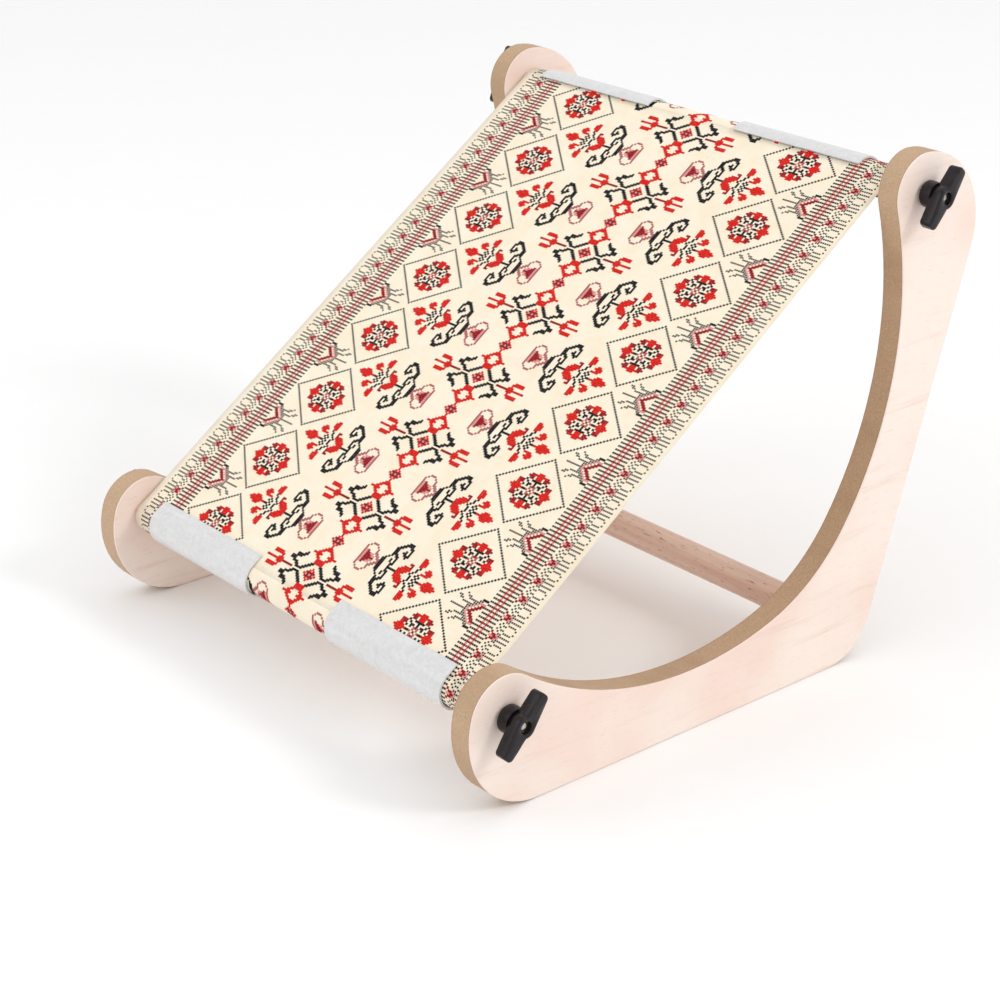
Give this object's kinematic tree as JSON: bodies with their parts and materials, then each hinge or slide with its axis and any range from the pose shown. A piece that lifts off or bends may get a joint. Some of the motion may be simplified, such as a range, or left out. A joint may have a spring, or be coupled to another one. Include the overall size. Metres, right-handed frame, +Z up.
{
  "type": "embroidery scroll frame",
  "caption": "Table-top embroidery scroll frame: boomerang side boards and a stretcher carry rollers, locked by wing knobs, that stretch a cloth held by snap clips.",
  "frame": {"origin": "on the table, under the middle of the frame", "axes": "+X along the rollers, +Y from the low front roller to the high back roller, +Z up"},
  "size_m": [0.459, 0.4562, 0.3609],
  "materials": {
    "board": "pale beech veneer on an 18 mm board, sanded tan rim",
    "beech": "sanded beech dowel",
    "steel": "zinc plated",
    "black_plastic": "fine moulded texture",
    "brass": "turned",
    "white_plastic": "pearly extruded plastic",
    "cloth": "cream evenweave cloth with a cross-stitch pattern in red and black"
  },
  "bodies": {
    "frame": {"side_board_left": "board", "side_board_right": "board", "stretcher": "beech", "stretcher_pin_left": "beech", "stretcher_pin_right": "beech", "cloth_panel": "cloth"},
    "front_roller": {"roller_front": "beech", "cloth_roll_front": "cloth", "stud_front_left": "steel", "stud_front_right": "steel"},
    "front_left_clip": {"clip_front_left": "white_plastic"},
    "front_left_washer": {"washer_front_left": "steel"},
    "front_left_knob": {"knob_front_left": "black_plastic", "insert_front_left": "brass"},
    "front_right_clip": {"clip_front_right": "white_plastic"},
    "front_right_washer": {"washer_front_right": "steel"},
    "front_right_knob": {"knob_front_right": "black_plastic", "insert_front_right": "brass"},
    "rear_roller": {"roller_rear": "beech", "cloth_roll_rear": "cloth", "stud_rear_left": "steel", "stud_rear_right": "steel"},
    "rear_left_clip": {"clip_rear_left": "white_plastic"},
    "rear_left_washer": {"washer_rear_left": "steel"},
    "rear_left_knob": {"knob_rear_left": "black_plastic", "insert_rear_left": "brass"},
    "rear_right_clip": {"clip_rear_right": "white_plastic"},
    "rear_right_washer": {"washer_rear_right": "steel"},
    "rear_right_knob": {"knob_rear_right": "black_plastic", "insert_rear_right": "brass"}
  },
  "joints": [
    {"name": "front_roller_turn", "type": "hinge", "parent": "frame", "child": "front_roller", "pos_m": [0, -0.19886, 0.06652], "axis": [1, 0, 0], "range_deg": [0, 110]},
    {"name": "front_left_clip_slide", "type": "slide", "parent": "front_roller", "child": "front_left_clip", "axis": [1, 0, 0], "range_m": [-0.02, 0.044]},
    {"name": "front_left_knob_travel", "type": "slide", "parent": "front_roller", "child": "front_left_washer", "axis": [-1, 0, 0], "range_m": [0, 0.002]},
    {"name": "front_left_knob_turn", "type": "hinge", "parent": "front_left_washer", "child": "front_left_knob", "pos_m": [-0.2195, -0.19886, 0.06652], "axis": [-1, 0, 0], "range_deg": [0, 720]},
    {"name": "front_right_clip_slide", "type": "slide", "parent": "front_roller", "child": "front_right_clip", "axis": [1, 0, 0], "range_m": [-0.042, 0.024]},
    {"name": "front_right_knob_travel", "type": "slide", "parent": "front_roller", "child": "front_right_washer", "axis": [1, 0, 0], "range_m": [0, 0.002]},
    {"name": "front_right_knob_turn", "type": "hinge", "parent": "front_right_washer", "child": "front_right_knob", "pos_m": [0.2195, -0.19886, 0.06652], "axis": [1, 0, 0], "range_deg": [0, 720]},
    {"name": "rear_roller_turn", "type": "hinge", "parent": "frame", "child": "rear_roller", "pos_m": [0, 0.17114, 0.33288], "axis": [1, 0, 0], "range_deg": [-70, 0]},
    {"name": "rear_left_clip_slide", "type": "slide", "parent": "rear_roller", "child": "rear_left_clip", "axis": [1, 0, 0], "range_m": [-0.017, 0.047]},
    {"name": "rear_left_knob_travel", "type": "slide", "parent": "rear_roller", "child": "rear_left_washer", "axis": [-1, 0, 0], "range_m": [0, 0.002]},
    {"name": "rear_left_knob_turn", "type": "hinge", "parent": "rear_left_washer", "child": "rear_left_knob", "pos_m": [-0.2195, 0.17114, 0.33288], "axis": [-1, 0, 0], "range_deg": [0, 720]},
    {"name": "rear_right_clip_slide", "type": "slide", "parent": "rear_roller", "child": "rear_right_clip", "axis": [1, 0, 0], "range_m": [-0.034, 0.029]},
    {"name": "rear_right_knob_travel", "type": "slide", "parent": "rear_roller", "child": "rear_right_washer", "axis": [1, 0, 0], "range_m": [0, 0.002]},
    {"name": "rear_right_knob_turn", "type": "hinge", "parent": "rear_right_washer", "child": "rear_right_knob", "pos_m": [0.2195, 0.17114, 0.33288], "axis": [1, 0, 0], "range_deg": [0, 720]}
  ],
  "couplings": [
    {"joint": "front_left_knob_travel", "follows": "front_left_knob_turn", "m_per_rad": 0.00015915},
    {"joint": "front_right_knob_travel", "follows": "front_right_knob_turn", "m_per_rad": 0.00015915},
    {"joint": "rear_left_knob_travel", "follows": "rear_left_knob_turn", "m_per_rad": 0.00015915},
    {"joint": "rear_right_knob_travel", "follows": "rear_right_knob_turn", "m_per_rad": 0.00015915}
  ]
}
